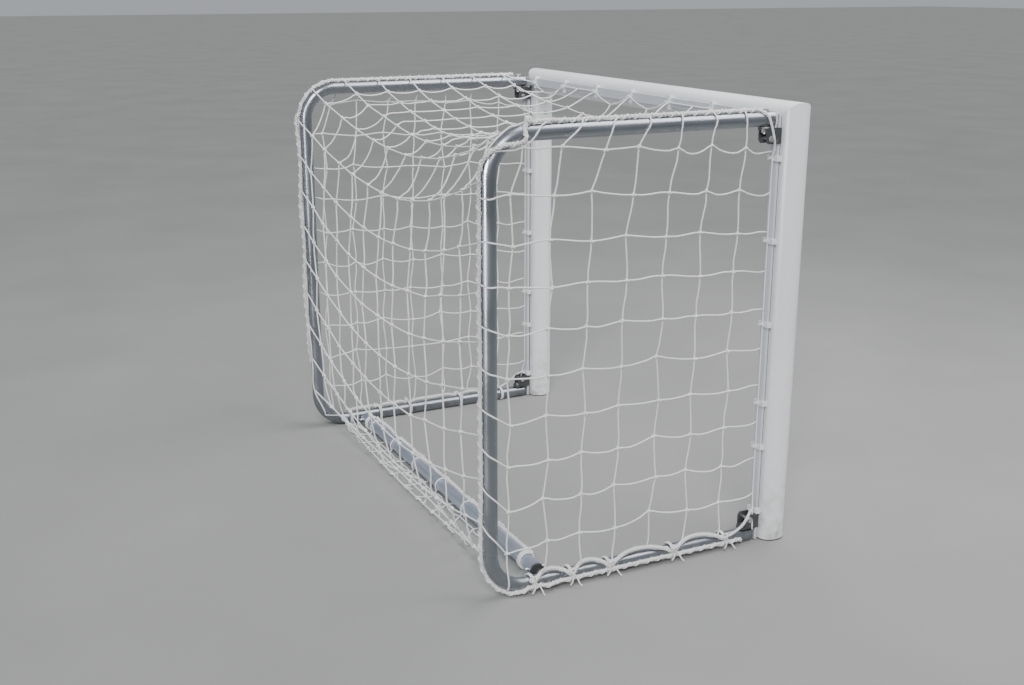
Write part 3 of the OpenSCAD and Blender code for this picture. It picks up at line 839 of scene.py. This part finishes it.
def body_edge(side):
    """Edge of the top and back net: crossbar, border rope, down to the ground and in to the bar."""
    route = border_route(side)
    corner = [(side * (SIDE_X - 0.045), EDGE_TWINE_Y, TOP_Z)]
    if side < 0:
        foot = [(0.014, UPRIGHT_Y + 0.016, 0.125), (0.060, UPRIGHT_Y - 0.012, 0.075),
                (0.130, BAR_Y + 0.105, 0.028), (0.190, BAR_Y + 0.075, 0.004),
                (0.200, BAR_Y + 0.040, 0.004)]
    else:
        foot = [(0.014, UPRIGHT_Y + 0.016, 0.110), (0.024, UPRIGHT_Y - 0.006, 0.055),
                (0.030, BAR_Y + 0.105, 0.012), (0.034, BAR_Y + 0.075, 0.004),
                (0.060, BAR_Y + 0.040, 0.004)]
    foot = [(side * (SIDE_X - inboard), y, z) for inboard, y, z in foot]
    return np.array(corner + [tuple(p) for p in route[:20]] + foot)


def gathered(share, centre, pull):
    """A share of an edge's length, drawn toward centre: the net has slipped along the rope."""
    if share in (0, 1):
        return share
    width = 0.16 if share < centre else 0.07
    return share + pull * (centre - share) * math.exp(-((share - centre) / width) ** 2)


def make_body_net(seed):
    """The top and back of the net, one piece from the crossbar's clips to the ground bar."""
    last = FINE_STEPS // 2 - 1
    left, right = (resample(body_edge(side), last + 1) for side in (-1, 1))

    def place(u, v):
        """u from left to right, v from the crossbar over the top and down to the bar."""
        a = left[int(round(gathered(v, 0.342, 0.9) * last))]
        b = right[int(round(v * last))]
        return (1 - u) * a + u * b

    net = Net(ACROSS, ALONG, place, seed, slack_across=1.006, slack_down=0.997)
    net.pin(net.knots[0, :])
    net.pin(net.knots[-1, :])
    head = net.across[0]
    for x in CROSSBAR_CLIP_X:
        nearest = head[np.argmin(np.abs(net.points[head, 0] - x))]
        net.pin([nearest], [(x, EDGE_TWINE_Y, TOP_Z)])
    foot = net.across[-1]
    for i in range(1, ACROSS):
        spot = foot[i * SPARE_POINTS]
        net.pin([spot], [(net.points[spot, 0], BAR_Y + 0.026, 0.0035)])

    def push(p):
        q = push_from_tubes(p)
        q[:, 1] = np.maximum(q[:, 1], EDGE_TWINE_Y)
        rear = np.where(q[:, 2] < 0.04, BAR_Y + 0.088, UPRIGHT_Y + ROPE_OFFSET)
        q[:, 1] = np.minimum(q[:, 1], rear)
        behind = np.maximum(q[:, 1] - (BEND_Y - 0.06), 0)
        lowest = TOP_Z - 0.010 - 0.125 * (SIDE_X - np.abs(q[:, 0])) - 2.5 * behind
        on_top = (q[:, 2] > 0.85) & (behind < 0.11)
        q[:, 2] = np.where(on_top, np.maximum(q[:, 2], lowest), q[:, 2])
        return q

    net.relax(600, passes=24, drop=0.00012, push=push)
    net.zigzag(ZIGZAG, (1, 0, 0))
    return net, push


def body_net_piece(name, seed):
    """The top and back net as one mesh, with the rings that hold it to the crossbar's clips."""
    net, push = make_body_net(seed)
    strands = Strands()
    net.build(strands, push)
    clip_rings(strands, [(x, RING_Y, TOP_Z) for x in CROSSBAR_CLIP_X], (1.0, 0.0, 0.0))
    piece = strands.mesh(name, MATERIALS["net_twine"])
    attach(piece, "root")
    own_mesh(piece)
    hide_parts("top_net", "back_net")
    return net


# ---------------------------------------- ropes and lashings

def border_rope_piece(name, side):
    """The border rope, laid from three strands, with the net's edge twine wound round it."""
    label = side_name(side)
    route = smooth(rope_route(side)[None], 6)[0]
    strands = Strands()
    laid_rope(strands, route, LAID_R, LAID_PITCH)
    fuzz(strands, route, LAID_R, np.random.default_rng(51 + side))
    length, step, wound_pitch = path_length(route), 0.0042, 0.034
    line = resample(route, int(length / step))
    first, second = carried_frame(line)
    turn = np.linspace(0, -length / wound_pitch * 2 * math.pi, len(line))
    across = np.cos(turn)[:, None] * first + np.sin(turn)[:, None] * second
    strands.add((line + (ROPE_R + 0.0006) * across)[None], TWINE_R, 5, across[None])
    piece = strands.mesh(name, MATERIALS["rope_white"])
    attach(piece, label + "_frame")
    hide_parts(label + "_border_rope")


def hoop(centre, along, radius, wire, turns):
    """Open turns of cord round a tube: a path."""
    along = np.asarray(along, float) / np.linalg.norm(along)
    side = np.cross(along, (1.0, 0.0, 0.0) if abs(along[0]) < 0.9 else (0.0, 0.0, 1.0))
    side /= np.linalg.norm(side)
    other = np.cross(along, side)
    t = np.linspace(0, turns, 26 * turns + 1)
    angle = 2 * math.pi * t
    pitch = wire * 2.05
    rise = (t - turns / 2) * pitch
    across = np.cos(angle)[:, None] * side + np.sin(angle)[:, None] * other
    path = np.asarray(centre) + radius * across + rise[:, None] * along
    path[:, 2] = np.maximum(path[:, 2], wire)
    return path


def tail(start, heading, length, drop_to, wiggle, random):
    """A loose cord end that leaves a knot, curls a little and falls to a height."""
    t = np.linspace(0, 1, 12)
    heading = np.asarray(heading, float) / np.linalg.norm(heading)
    sideways = np.array([-heading[1], heading[0], 0.0])
    curl = wiggle * np.sin(t * math.pi * random.uniform(1.2, 1.9)) * t
    path = np.asarray(start) + length * t[:, None] * heading + curl[:, None] * sideways
    path[:, 2] = start[2] + (drop_to - start[2]) * (1 - (1 - t) ** 2) + 0.006 * np.sin(t * math.pi)
    return path


def knot_lump(strands, centre, size, wire, random):
    """A hand-tied knot: three tight rings that lean across each other."""
    for _ in range(3):
        axis = random.normal(0, 1, 3)
        spot = centre + random.normal(0, size * 0.18, 3)
        rings(strands, spot[None], axis[None], size * 0.55, wire, 12, 6)


def lashings_piece(name, side, seed):
    """The ties that hold the net's foot to the bottom tube, their knots and loose tails,
    the foot cord that bows up between them, and on the left a knot at the top bend."""
    random = np.random.default_rng(seed)
    label = side_name(side)
    strands = Strands()
    x = side * SIDE_X
    tie_r = 0.0030
    cord = smooth(foot_cord(side)[None], 4)[0]
    laid_rope(strands, cord, CORD_R, CORD_PITCH)
    fuzz(strands, cord, CORD_R, random)
    for y in TIE_Y:
        turns = hoop((x, y, LOW_Z + 0.0015), (0, 1, 0.02), TUBE_R + 0.0032, tie_r * 0.75, 2)
        strands.add(turns[None], tie_r * 0.75, 6, (0.1, 1.0, 0.1))
        spot = np.array((x + side * (TUBE_R + 0.006), y, LOW_Z + 0.019))
        knot_lump(strands, spot, 0.0115, tie_r * 0.8, random)
        for turn, length in ((-1, 0.034), (0.5, 0.016)):
            heading = (side * 0.7, turn * random.uniform(0.4, 0.9), 0)
            end = tail(spot, heading, length * random.uniform(0.8, 1.1), 0.008, 0.006, random)
            strands.add(smooth(end[None], 3), tie_r * 0.62, 6, (0.1, 0.2, 1.0))
    if side < 0:
        bend = np.array((x + side * 0.006, BEND_Y + 0.004, TOP_Z + TUBE_R + 0.0085))
        knot_lump(strands, bend, 0.014, 0.0030, random)
    piece = strands.mesh(name, MATERIALS["rope_white"])
    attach(piece, label + "_frame")


def rising_cord_piece(name, side):
    """The cord that rises from the bottom tube to the lowest clip on the post."""
    label = side_name(side)
    x = side * SIDE_X
    path = np.array([(x + side * 0.022, TIE_Y[-1] + 0.012, LOW_Z + 0.012),
                     (x + side * 0.024, -0.285, LOW_Z + 0.022),
                     (x + side * 0.024, -0.318, LOW_Z + 0.040),
                     (x + side * 0.016, -0.343, LOW_Z + 0.062),
                     (x + side * 0.004, EDGE_TWINE_Y + 0.003, POST_CLIP_Z[0] + 0.004)])
    strands = Strands()
    laid_rope(strands, smooth(path[None], 8)[0], 0.0040, 0.020)
    piece = strands.mesh(name, MATERIALS["rope_white"])
    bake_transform(piece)


def bar_hem_piece(name, net, seed):
    """The net's foot rope in front of the ground bar, and the meshes that pass over the bar."""
    random = np.random.default_rng(seed)
    strands = Strands()
    over = BAR_R + TWINE_R + 0.0012
    wrap_r = 0.0027
    spots = [net.points[net.across[-1][i * SPARE_POINTS]][0] for i in range(1, ACROSS)]
    ends = [-PIN_X + 0.050, PIN_X - 0.050]
    lifted = (BAR_Y - BAR_R * 0.90, BAR_Z + BAR_R * 0.72 + 0.004)
    hem = [(ends[0], *lifted)]
    for k, x in enumerate(spots):
        previous = spots[k - 1] if k else ends[0]
        hem.append(((previous + x) / 2, BAR_Y - BAR_R - 0.013 + random.uniform(-0.003, 0.003),
                    BAR_Z + random.uniform(-0.002, 0.004)))
        if k % 2 == 0:
            hem.append((x, *lifted))
        else:
            hem.append((x, BAR_Y - BAR_R - 0.018 + random.uniform(-0.003, 0.003), BAR_Z - 0.008))
    hem += [((spots[-1] + ends[1]) / 2, BAR_Y - BAR_R - 0.012, BAR_Z), (ends[1], *lifted)]
    hem = smooth(np.array(hem)[None], 6)[0]
    laid_rope(strands, hem, CORD_R, CORD_PITCH)
    fuzz(strands, hem, CORD_R, random)
    angles = np.radians(np.linspace(-38, 128, 15))
    for number, x in enumerate(spots):
        lean = random.uniform(-0.020, 0.020) if number % 2 else 0.0
        if number % 2 == 0:
            loop = [(x + lean * (k / 14), BAR_Y + over * math.cos(a), BAR_Z + over * math.sin(a))
                    for k, a in enumerate(angles)]
        else:
            loop = [(x, BAR_Y + 0.008, 0.003), (x + lean / 2, BAR_Y - 0.010, 0.003),
                    (x + lean, BAR_Y - BAR_R - 0.008, 0.008)]
        tied = (x + lean, BAR_Y - BAR_R - 0.018, BAR_Z - 0.008) if number % 2 else (x, *lifted)
        loop = [(x, BAR_Y + 0.026, 0.0035)] + loop + [tied]
        strands.add(smooth(np.array(loop)[None], 2), TWINE_R, 6, (1, 0, 0.05))
        knot_lump(strands, np.array(tied), 0.0085, 0.0022, random)
    for x in ends:
        turns = hoop((x, BAR_Y, BAR_Z), (1, 0.05, 0), BAR_R + 0.0036, wrap_r, 3)
        strands.add(turns[None], wrap_r, 6, (1, 0.1, 0.1))
    piece = strands.mesh(name, MATERIALS["rope_white"])
    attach(piece, "ground_bar")


# ---------------------------------------- stage, lights and camera

def make_stage():
    """A plain pale floor."""
    mesh = bpy.data.meshes.new("floor")
    half, level = 60, -0.0006
    corners = [(x * half, y * half, level) for x, y in ((-1, -1), (1, -1), (1, 1), (-1, 1))]
    mesh.from_pydata(corners, [], [(0, 1, 2, 3)])
    floor = add_object("floor", mesh)
    paint = Paint("floor", (0.30, 0.305, 0.30), 0.9, Specular_IOR_Level=0.0)
    cloud = paint.fit(paint.noise(1.4, 4), 0, 1)
    paint.colour(paint.mix(cloud, (0.285, 0.29, 0.285), (0.315, 0.32, 0.315)))
    mesh.materials.append(paint.material)


def make_light(name, place, target, size, power, colour, spread):
    """A soft box that faces its target. size is its width and height, and spread is in degrees."""
    lamp = bpy.data.lights.new(name, "AREA")
    lamp.shape, lamp.size, lamp.size_y = "RECTANGLE", size[0], size[1]
    lamp.energy, lamp.color, lamp.spread = power, colour, math.radians(spread)
    made = add_object(name, lamp)
    made.location = place
    made.rotation_euler = (Vector(target) - Vector(place)).to_track_quat("-Z", "Y").to_euler()
    return made


def make_sun(name, from_way, strength, softness, colour):
    """A soft sun, which lights the floor evenly. softness is its width in degrees."""
    lamp = bpy.data.lights.new(name, "SUN")
    lamp.energy, lamp.angle, lamp.color = strength, math.radians(softness), colour
    made = add_object(name, lamp)
    made.rotation_euler = (-Vector(from_way)).to_track_quat("-Z", "Y").to_euler()


def make_world():
    """An even, pale, slightly cool surrounding."""
    world = bpy.data.worlds.new("studio")
    world.use_nodes = True
    sky = world.node_tree.nodes["Background"]
    sky.inputs["Color"].default_value = (0.80, 0.84, 0.90, 1)
    sky.inputs["Strength"].default_value = 0.50
    bpy.context.scene.world = world


def make_camera():
    """The camera behind the goal's left side, at a standing person's eye height."""
    yaw, pitch = math.radians(26.16), math.radians(16.21)
    lens = bpy.data.cameras.new("camera")
    lens.sensor_width = 36.0
    lens.lens = 43.52
    camera = add_object("camera", lens)
    camera.location = (-3.250, 1.6276, 1.4905)
    ahead = Vector((math.cos(yaw) * math.cos(pitch), -math.sin(yaw) * math.cos(pitch),
                    -math.sin(pitch)))
    camera.rotation_mode = "QUATERNION"
    camera.rotation_quaternion = ahead.to_track_quat("-Z", "Y")
    bpy.context.scene.camera = camera


make_camera()
make_world()
make_sun("sun", (-0.85, 0.50, 0.80), strength=2.8, softness=28, colour=(1.0, 0.985, 0.96))
strip = make_light("strip", (-1.68, 3.77, 1.3), (-0.7, 0.4, 0.6), size=(0.45, 2.4), power=34,
                   colour=(0.96, 0.98, 1.0), spread=60)
strip.visible_diffuse = False  # it shows only in gloss
make_light("top", (-0.5, -1.3, 3.4), (0, 0, 0.6), size=(2.6, 2.6), power=120,
           colour=(1.0, 0.99, 0.98), spread=180)
make_stage()
finish_nodes()

body_net = body_net_piece("top_and_back_net", 11)
side_net_piece("left_side_twine", -1, 21)
side_net_piece("right_side_twine", 1, 22)
for side in (-1, 1):
    border_rope_piece(side_name(side) + "_edge_rope", side)
    lashings_piece(side_name(side) + "_lashings", side, 31 + side)
    rising_cord_piece(side_name(side) + "_rising_cord", side)
bar_hem_piece("foot_rope", body_net, 41)
